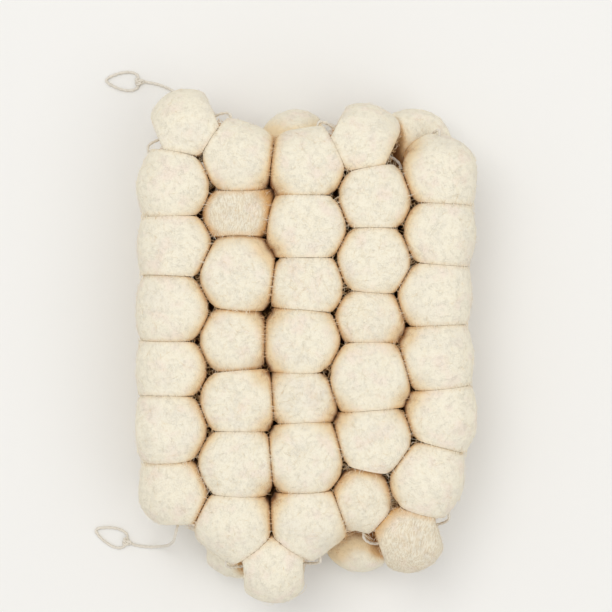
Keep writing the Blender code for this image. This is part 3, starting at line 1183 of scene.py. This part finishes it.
@dataclass
class BallPiece:
    """The felt of one node: a ball, or two joined ones, as fine meshes.

    Cuts are those of each edge of the cube that a ball's mesh starts as. Lumps and ripples
    are those of hand felting, and a dimple is where the string goes in. The streaks of the
    ball whose number is combed lie straight along and across its run.
    """

    numbers: list[int]
    balls: list[Ball]
    felt: bpy.types.Material
    upper_cuts: int = 27
    lower_cuts: int = 17
    lump_depth: float = 0.55
    lump_size: float = 9.0
    ripple_depth: float = 0.16
    ripple_size: float = 2.6
    lump_shift: Place = (7.3, 3.1, 5.7)
    lump_fade: float = 2.5
    dimple_depth: float = 1.6
    dimple_width: float = 2.2
    grain_shift: float = 37.0
    combed: int = 9

    @property
    def label(self) -> str:
        """The balls' numbers as their node's name has them."""
        return "_".join(f"{number:02d}" for number in self.numbers)

    def _sphere(self, cuts: int) -> tuple[np.ndarray, list[list[int]]]:
        """A sphere from a cut cube.

        Args:
            cuts: the cuts of each of the cube's edges.

        Returns:
            Even directions in all ways, and the faces between them.
        """
        mesh = bmesh.new()
        bmesh.ops.create_cube(mesh, size=2.0)
        bmesh.ops.subdivide_edges(mesh, edges=mesh.edges, cuts=cuts, use_grid_fill=True)
        ways = np.array([vert.co[:] for vert in mesh.verts])
        faces = [[vert.index for vert in face.verts] for face in mesh.faces]
        mesh.free()
        return unit(np.tan(ways * math.pi / 4)), faces

    def _felted(self, number: int, ball: Ball, ways: np.ndarray) -> np.ndarray:
        """The ball's pressed shape with the lumps of hand felting.

        Args:
            number: the ball's number.
            ball: the ball.
            ways: the directions of its vertices.

        Returns:
            The vertices.
        """
        felt = ball.reach(ways)
        inside = ball.near(ball.centre + ways * felt[:, None])
        loose = np.clip(inside / self.lump_fade, 0.0, 1.0)
        shift = Vector([number * step for step in self.lump_shift])
        lumps = np.array([noise.noise(Vector(way * ball.radius / self.lump_size) + shift)
                          for way in ways])
        ripples = np.array([noise.noise(Vector(way * ball.radius / self.ripple_size) - shift)
                            for way in ways])
        felt -= loose * (self.lump_depth * (0.5 + lumps / 2)
                         + self.ripple_depth * (0.5 + ripples / 2))
        points = ball.centre + ways * felt[:, None]
        for hole in ball.holes:
            far = np.linalg.norm(points - hole, axis=1) / self.dimple_width
            sink = self.dimple_depth * np.exp(-far ** 2)
            points -= ways * sink[:, None]
        points[:, 2] = np.maximum(points[:, 2], 0.0)
        return points

    def _grain(self, number: int, ball: Ball, points: np.ndarray) -> np.ndarray:
        """The felt's own coordinates, turned for each ball as it was rolled.

        Args:
            number: the ball's number.
            ball: the ball.
            points: its vertices.

        Returns:
            The coordinates of each.
        """
        turn = np.random.default_rng(number)
        axes, _ = np.linalg.qr(turn.normal(size=(3, 3)))
        if number == self.combed:
            axes = np.array(((1.0, 0.0, 0.0), (0.0, 0.0, 1.0), (0.0, 1.0, 0.0)))
        return (points - ball.centre) @ axes + number * self.grain_shift

    def build(self) -> bpy.types.Object:
        """Make the felt.

        Returns:
            The piece, which replaces its node.
        """
        points, faces = [], []
        stored = {"grain": [], "near": [], "shade": [], "dull": []}
        count = 0
        for number, ball in zip(self.numbers, self.balls):
            cuts = self.upper_cuts if ball.layer is Layer.UPPER else self.lower_cuts
            ways, sides = self._sphere(cuts)
            ways = ball.snapped(ways, math.pi / 2 / (cuts + 1))
            verts = self._felted(number, ball, ways)
            points.append(verts)
            faces += [[index + count for index in side] for side in sides]
            stored["grain"].append(self._grain(number, ball, verts))
            # near and shade are the masks of the felt's painted shade
            stored["near"].append(ball.near(verts))
            stored["shade"].append(ball.shade(verts))
            stored["dull"].append(np.full(len(verts), ball.dull))
            count += len(verts)
        piece = make_piece("felt_" + self.label, np.concatenate(points), faces, self.felt,
                           WOOL_SLOT, "ball_" + self.label)
        for name, values in stored.items():
            write_attribute(piece.data, name, np.concatenate(values))
        return piece


@dataclass
class Fuzz:
    """The loose hairs of some balls, joined as one piece of thin closed tubes.

    Nap lies along the ball, strays curl over the gaps beside it, and bridges cross a seam
    to the next ball. Counts are hairs a ball, and sizes are in millimetres. A span is the
    least and the most, between which each hair has its own value.
    """

    name: str
    balls: list[Ball]
    fibre: bpy.types.Material
    seed: int
    nap_count: int = 150
    nap_length: Span = (2.0, 6.0)
    nap_radius: Span = (0.025, 0.07)
    nap_rise: Span = (0.12, 0.5)
    nap_lift: float = 0.0
    nap_curl: float = 0.06
    nap_spring: float = 0.12
    stray_count: int = 75
    stray_radius: Span = (0.07, 0.13)
    stray_step: Span = (0.3, 0.7)
    stray_curl: Span = (0.35, 0.95)
    stray_wander: float = 0.35
    # How much of their painted shade the strays get
    stray_shade: float = 0.9
    bridge_count: int = 110
    bridge_radius: Span = (0.05, 0.1)
    bridge_rise: Span = (0.1, 0.6)
    bridge_reach: Span = (0.9, 1.7)
    bridge_slant: float = 1.1
    bridge_bow: float = 0.5
    sides: int = 3
    steps: int = 6
    stray_steps: int = 10

    TRIES = 12
    LEAST_HEIGHT = 1.0
    FLOOR_GAP = 0.02
    ROOT_DEPTH = 0.3
    BRIDGE_DEPTH = 0.2
    NAP_SLOPE = 1.5
    NAP_START = 0.12
    STRAY_OUTWARD = 0.9
    STRAY_SIDEWAYS = 0.8
    STRAY_UPWARD = 0.06
    TIP = 0.45
    ASKEW = (0.31, 0.52, 0.79)

    def _roots(self, ball: Ball, count: int, shape: Shape, rng: np.random.Generator
               ) -> np.ndarray:
        """Where hairs leave the felt.

        Args:
            ball: the ball.
            count: the most hairs.
            shape: their kind.
            rng: what varies them.

        Returns:
            Directions from the ball's middle, one for each hair.
        """
        ways = unit(rng.normal(size=(count * self.TRIES, 3)))
        points = ball.centre + ways * ball.reach(ways)[:, None]
        near = ball.near(points)
        shade = ball.shade(points)
        least, most, palest, darkest = shape.value
        good = (points[:, 2] > self.LEAST_HEIGHT) & (near > least) & (near < most)
        good &= (shade > palest) & (shade < darkest)
        return ways[good][:count]

    def _nap(self, ball: Ball, rng: np.random.Generator) -> np.ndarray:
        """Hairs that lie along the ball.

        Args:
            ball: the ball.
            rng: what varies them.

        Returns:
            Their middle lines.
        """
        ways = self._roots(ball, self.nap_count, Shape.NAP, rng)
        count = len(ways)
        ahead = square(rng.normal(size=(count, 3)), ways)
        aside = np.cross(ways, ahead)
        length = rng.uniform(*self.nap_length, (count, 1))
        curl = rng.normal(0.0, self.nap_curl, (count, 1))
        lift = rng.uniform(*self.nap_rise, (count, 1))
        lift += rng.exponential(self.nap_spring, (count, 1)) + self.nap_lift
        lines = []
        for step in range(self.steps):
            share = step / (self.steps - 1)
            along = length * share / ball.radius
            sway = curl * (length * share) ** 2 / ball.radius
            way = unit(ways + ahead * along + aside * sway)
            rise = lift * (share * self.NAP_SLOPE - self.NAP_START) - self.ROOT_DEPTH
            lines.append(ball.centre + way * (ball.reach(way)[:, None] + rise))
        return np.stack(lines, axis=1)

    def _strays(self, ball: Ball, rng: np.random.Generator) -> np.ndarray:
        """Curly hairs beside the gaps.

        Args:
            ball: the ball.
            rng: what varies them.

        Returns:
            Their middle lines.
        """
        ways = self._roots(ball, self.stray_count, Shape.STRAY, rng)
        count = len(ways)
        aside = unit(rng.normal(size=(count, 3)))
        ahead = unit(ways * self.STRAY_OUTWARD + aside * self.STRAY_SIDEWAYS)
        bend = unit(np.cross(ahead, rng.normal(size=(count, 3))))
        step_length = rng.uniform(*self.stray_step, (count, 1))
        curl = rng.uniform(*self.stray_curl, (count, 1))
        lines = [ball.centre + ways * (ball.reach(ways)[:, None] - self.ROOT_DEPTH)]
        for _ in range(self.stray_steps - 1):
            lines.append(lines[-1] + ahead * step_length)
            ahead = unit(ahead + bend * curl + UP * self.STRAY_UPWARD)
            bend = unit(bend + rng.normal(0.0, self.stray_wander, (count, 3)))
            bend = square(bend, ahead)
        return np.stack(lines, axis=1)

    def _bridges(self, ball: Ball, rng: np.random.Generator) -> np.ndarray:
        """Hairs that cross a seam to the next ball.

        Args:
            ball: the ball.
            rng: what varies them.

        Returns:
            Their middle lines.
        """
        ways = self._roots(ball, self.bridge_count, Shape.BRIDGE, rng)
        count = len(ways)
        roots = ball.centre + ways * (ball.reach(ways)[:, None] - self.BRIDGE_DEPTH)
        normals = np.array([normal for normal, _ in ball.neighbours])
        gaps = np.array([distance for _, distance in ball.neighbours])
        left = gaps - (roots - ball.centre) @ normals.T
        nearest = left.argmin(axis=1)
        across = normals[nearest] * (left[np.arange(count), nearest] * 2.0)[:, None]
        aside = unit(np.cross(ways, normals[nearest]))
        slant = rng.normal(0.0, self.bridge_slant, (count, 1))
        bow = rng.normal(0.0, self.bridge_bow, (count, 1))
        rise = rng.uniform(*self.bridge_rise, (count, 1))
        overrun = rng.uniform(*self.bridge_reach, (count, 1))
        lines = []
        for step in range(self.steps):
            share = step / (self.steps - 1) * overrun
            hump = np.sin(np.clip(share, 0.0, 1.0) * math.pi)
            lines.append(roots + across * share + aside * (slant * share + bow * hump)
                         + ways * rise * np.sqrt(share))
        return np.stack(lines, axis=1)

    def _tubes(self, lines: np.ndarray, thickness: np.ndarray
               ) -> tuple[np.ndarray, np.ndarray, np.ndarray]:
        """Closed tapered tubes round lines of equal step count.

        Args:
            lines: the middle lines, hairs by steps by 3.
            thickness: each hair's radius.

        Returns:
            The vertices, the quads of the sides and the triangles of the ends.
        """
        hairs, steps, _ = lines.shape
        ahead = unit(np.gradient(lines, axis=1))
        first = unit(np.cross(ahead, np.array(self.ASKEW)))
        second = np.cross(ahead, first)
        taper = np.linspace(1.0, self.TIP, steps)[None, :, None] * thickness[:, None, None]
        rings = [lines + turned(first, second, math.tau * side / self.sides) * taper
                 for side in range(self.sides)]
        points = np.stack(rings, axis=2).reshape(-1, 3)
        index = np.arange(hairs * steps * self.sides).reshape(hairs, steps, self.sides)
        there = np.roll(index, -1, axis=2)
        quads = np.stack((index[:, :-1], there[:, :-1], there[:, 1:], index[:, 1:]), axis=-1)
        ends = np.concatenate((index[:, 0, ::-1], index[:, -1, :]))
        return points, quads.reshape(-1, 4), ends

    def build(self) -> bpy.types.Object:
        """Make the hairs.

        Returns:
            The piece.
        """
        rng = np.random.default_rng(self.seed)
        points, faces, shades = [], [], []
        count = 0
        for ball in self.balls:
            kinds = ((self._nap(ball, rng), self.nap_radius, 1.0),
                     (self._strays(ball, rng), self.stray_radius, self.stray_shade),
                     (self._bridges(ball, rng), self.bridge_radius, 1.0))
            for lines, radius, share in kinds:
                thickness = rng.uniform(*radius, len(lines))
                verts, quads, ends = self._tubes(lines, thickness)
                points.append(verts)
                # The mask of the hairs' painted shade, lighter on the strays
                shade = ball.shade(lines.reshape(-1, 3)) * share
                shades.append(np.repeat(shade, self.sides))
                faces += (quads + count).tolist() + (ends + count).tolist()
                count += len(verts)
        joined = np.concatenate(points)
        joined[:, 2] = np.maximum(joined[:, 2], self.FLOOR_GAP)
        piece = make_piece(self.name, joined, faces, self.fibre, WOOL_SLOT)
        write_attribute(piece.data, "shade", np.concatenate(shades))
        return piece


@dataclass
class CottonString:
    """Two-ply string: a tube whose section has two lobes that wind round it."""

    cotton: bpy.types.Material
    width: float = 1.2
    lobe: float = 0.14
    lay_length: float = 5.2
    sides: int = 12
    arc_points: int = 60

    def tube(self, line: np.ndarray, closed: bool) -> tuple[np.ndarray, list[list[int]]]:
        """The string round a middle line.

        Args:
            line: the line's points.
            closed: whether its end meets its start.

        Returns:
            The vertices and the faces.
        """
        first, second = side_frames(line, closed)
        wind = math.tau * distances(line) / self.lay_length
        rings = []
        for side in range(self.sides):
            turn = math.tau * side / self.sides
            radius = self.width / 2 * (1 + self.lobe * np.cos(2 * (turn - wind)))
            rings.append(line + turned(first, second, turn) * radius[:, None])
        points = np.stack(rings, axis=1).reshape(-1, 3)
        count = len(line)
        faces = []
        for ring in range(count if closed else count - 1):
            here, there = ring * self.sides, (ring + 1) % count * self.sides
            for side in range(self.sides):
                beside = (side + 1) % self.sides
                faces.append([here + side, here + beside, there + beside, there + side])
        if not closed:
            faces.append(list(range(self.sides))[::-1])
            faces.append([(count - 1) * self.sides + side for side in range(self.sides)])
        return points, faces

    def piece(self, name: str, line: np.ndarray, closed: bool, *nodes: str) -> bpy.types.Object:
        """A piece of string.

        Args:
            name: the piece's name.
            line: its middle line.
            closed: whether the line's end meets its start.
            *nodes: the nodes that the piece stands for.

        Returns:
            The piece.
        """
        points, faces = self.tube(line, closed)
        return make_piece(name, points, faces, self.cotton, STRING_SLOT, *nodes)

    def build(self, garland: Garland) -> bpy.types.Object:
        """Make the string that the balls hold.

        Args:
            garland: the balls.

        Returns:
            The piece, which replaces the string's node.
        """
        return self.piece("held_string", garland.string_route(self.arc_points), False, "string")


@dataclass
class Tail:
    """A free end of the string: its fall to the surface, its knot and its loop."""

    name: str
    start: np.ndarray
    places: Sequence[Place]
    string: CottonString
    length: float = 61.0
    step: float = 3.2
    curve_steps: int = 12
    smooth_steps: int = 6
    fine_step: float = 0.35
    floor_gap: float = 0.25
    loop_length: float = 15.0
    loop_width: float = 7.0
    loop_taper: float = 0.35
    loop_steps: int = 11
    strands_apart: float = 0.65
    knot_size: Place = (5.3, 4.0, 2.5)
    knot_inset: float = 1.1
    knot_steps: int = 90

    def route(self) -> tuple[np.ndarray, np.ndarray, np.ndarray]:
        """The string's middle line.

        Returns:
            Its points to the loop's end, the knot's place and the way the loop goes.
        """
        curve = catmull([self.start, *(np.array(place) for place in self.places)],
                        self.curve_steps)
        points = walk(curve, self.step, self.length)
        points[:, 2] = np.maximum(points[:, 2], self.string.width / 2 + self.floor_gap)
        knot = points[-1].copy()
        ahead = unit((knot - points[-2]) * (1.0, 1.0, 0.0))
        side = np.cross(UP, ahead)
        loop = []
        for step in range(self.loop_steps + 1):
            turn = math.pi * (2 * step / self.loop_steps - 1)
            along = (1 + math.cos(turn)) / 2
            sway = self.loop_width / 2 * math.sin(turn) * (1 - self.loop_taper * math.cos(turn))
            beside = math.copysign(self.string.width * self.strands_apart, turn) * (1 - along)
            loop.append(knot + ahead * self.loop_length * along + side * (sway + beside))
        return np.array([*points[:-1], *loop]), knot, ahead

    def _knot(self, knot: np.ndarray, ahead: np.ndarray) -> bpy.types.Object:
        """Make the overhand knot, whose turns cross over each other.

        Args:
            knot: its place.
            ahead: the way the loop goes.

        Returns:
            The piece.
        """
        turn = np.linspace(0.0, math.tau, self.knot_steps, endpoint=False)
        inner = (np.array(self.knot_size) - self.string.width * self.knot_inset) / 2
        wide = np.sin(turn) + 2 * np.sin(2 * turn)
        long = np.cos(turn) - 2 * np.cos(2 * turn)
        line = (ahead[None] * (long / np.abs(long).max() * inner[0])[:, None]
                + np.cross(UP, ahead)[None] * (wide / np.abs(wide).max() * inner[1])[:, None]
                + UP[None] * (np.sin(3 * turn) * inner[2])[:, None])
        centre = np.array((knot[0], knot[1], self.knot_size[2] / 2 + self.floor_gap))
        return self.string.piece(self.name + "_knot", line + centre, True)

    def build(self) -> bpy.types.Object:
        """Make the free end.

        Returns:
            The piece, which replaces the node of its name.
        """
        route, knot, ahead = self.route()
        line = walk(catmull(list(route), self.smooth_steps), self.fine_step)
        cord = self.string.piece(self.name + "_string", line, False, self.name)
        lump = self._knot(knot, ahead)
        to_frame(line[0]).tolist()
        self.string.width * METRES
        to_frame(line).tolist()
        return cord


@dataclass(frozen=True)
class Lamp:
    """A square soft light, in metres and watts."""

    name: str
    place: Place
    size: float
    power: float
    colour: Colour

    def hang(self, aim: Place) -> None:
        """Hang the lamp so that it faces a place.

        Args:
            aim: the place.
        """
        data = bpy.data.lights.new(self.name, "AREA")
        data.shape = "SQUARE"
        data.size = self.size
        data.energy = self.power
        data.color = self.colour
        lamp = add_object(self.name, data)
        lamp.location = self.place
        way = Vector(aim) - Vector(self.place)
        lamp.rotation_euler = way.to_track_quat("-Z", "Y").to_euler()


@dataclass
class Studio:
    """The camera straight above the garland, the floor and the lights, in metres."""

    view_centre: Place = (-0.0001, 0.0179, 0.0438)
    view_width: float = 0.2695
    camera_height: float = 1.3
    sensor: float = 36.0
    floor_size: float = 6.0
    sky: Colour = (1.0, 0.99, 0.97)
    sky_strength: float = 0.725
    lamps: tuple[Lamp, ...] = (
        Lamp("key", (-0.4, 0.5, 1.9), 1.1, 11.2, (1.0, 0.985, 0.96)),
        Lamp("fill", (0.8, -0.3, 1.6), 1.2, 4.6, (0.98, 0.99, 1.0)))

    def set_camera(self) -> None:
        """Look straight down, with the photograph's width across the upper balls."""
        data = bpy.data.cameras.new("camera")
        data.sensor_width = self.sensor
        data.lens = self.sensor * self.camera_height / self.view_width
        camera = add_object("camera", data)
        x, y, z = self.view_centre
        camera.location = (x, y, z + self.camera_height)
        bpy.context.scene.camera = camera

    def set_floor(self) -> None:
        """Lay a plain pale floor under the garland."""
        mesh = bmesh.new()
        bmesh.ops.create_grid(mesh, x_segments=2, y_segments=2, size=self.floor_size / 2)
        data = bpy.data.meshes.new("floor")
        mesh.to_mesh(data)
        mesh.free()
        data.materials.append(PaleFloor().material())
        add_object("floor", data)

    def set_light(self) -> None:
        """Add an even pale sky and the lamps."""
        world = bpy.data.worlds.new("studio")
        world.use_nodes = True
        sky = world.node_tree.nodes["Background"]
        sky.inputs["Color"].default_value = rgba(self.sky)
        sky.inputs["Strength"].default_value = self.sky_strength
        scene = bpy.context.scene
        scene.world = world
        for lamp in self.lamps:
            lamp.hang(self.view_centre)
        scene.view_settings.view_transform = "Standard"
        scene.view_settings.look = "None"


def add_string(garland: Garland) -> None:
    """Make the two free ends, and then the string that the balls hold.

    Args:
        garland: the balls.
    """
    string = CottonString(Cotton().material())
    first, last = garland.chain[0], garland.chain[-1]
    ends = ((first.entry, first.exit, FIRST_TAIL, "tail_first"),
            (last.exit, last.entry, LAST_TAIL, "tail_last"))
    for hole, inner, places, name in ends:
        start = hole + unit(hole - inner) * garland.CLEARANCE
        Tail(name, start, places, string).build()
    string.build(garland)


def add_fuzz(garland: Garland) -> None:
    """Make the loose hairs of all the balls, and then the few long thick ones.

    Args:
        garland: the balls.
    """
    fibre = Fibre().material()
    upper = [ball for ball in garland.chain if ball.layer is Layer.UPPER]
    lower = [ball for ball in garland.chain if ball.layer is Layer.LOWER]
    for start in range(0, len(upper), FUZZ_BALLS):
        name = f"fuzz_upper_{start // FUZZ_BALLS + 1}"
        Fuzz(name, upper[start:start + FUZZ_BALLS], fibre, start + 1).build()
    Fuzz("fuzz_lower", lower, fibre, LOWER_SEED, nap_count=55, stray_count=10,
         bridge_count=10).build()
    loose = [garland.chain[number - 1] for number in garland.LOOSE]
    Fuzz("fuzz_long", loose, fibre, LONG_SEED, nap_count=4, stray_count=0, bridge_count=0,
         nap_length=(8.0, 15.0), nap_radius=(0.1, 0.15), nap_lift=0.5, steps=14).build()


def main() -> None:
    """Build the scene: camera and cords first, then the balls, their hairs and the studio."""
    logging.basicConfig(level=logging.INFO, format="%(name)s: %(message)s")
    studio = Studio()
    studio.set_camera()
    garland = Garland()
    add_string(garland)
    felt = Felt().material()
    for group in garland.groups():
        numbers = [number for number, _ in group]
        BallPiece(numbers, [ball for _, ball in group], felt).build()
    add_fuzz(garland)
    studio.set_floor()
    studio.set_light()


if __name__ == "__main__":
    main()
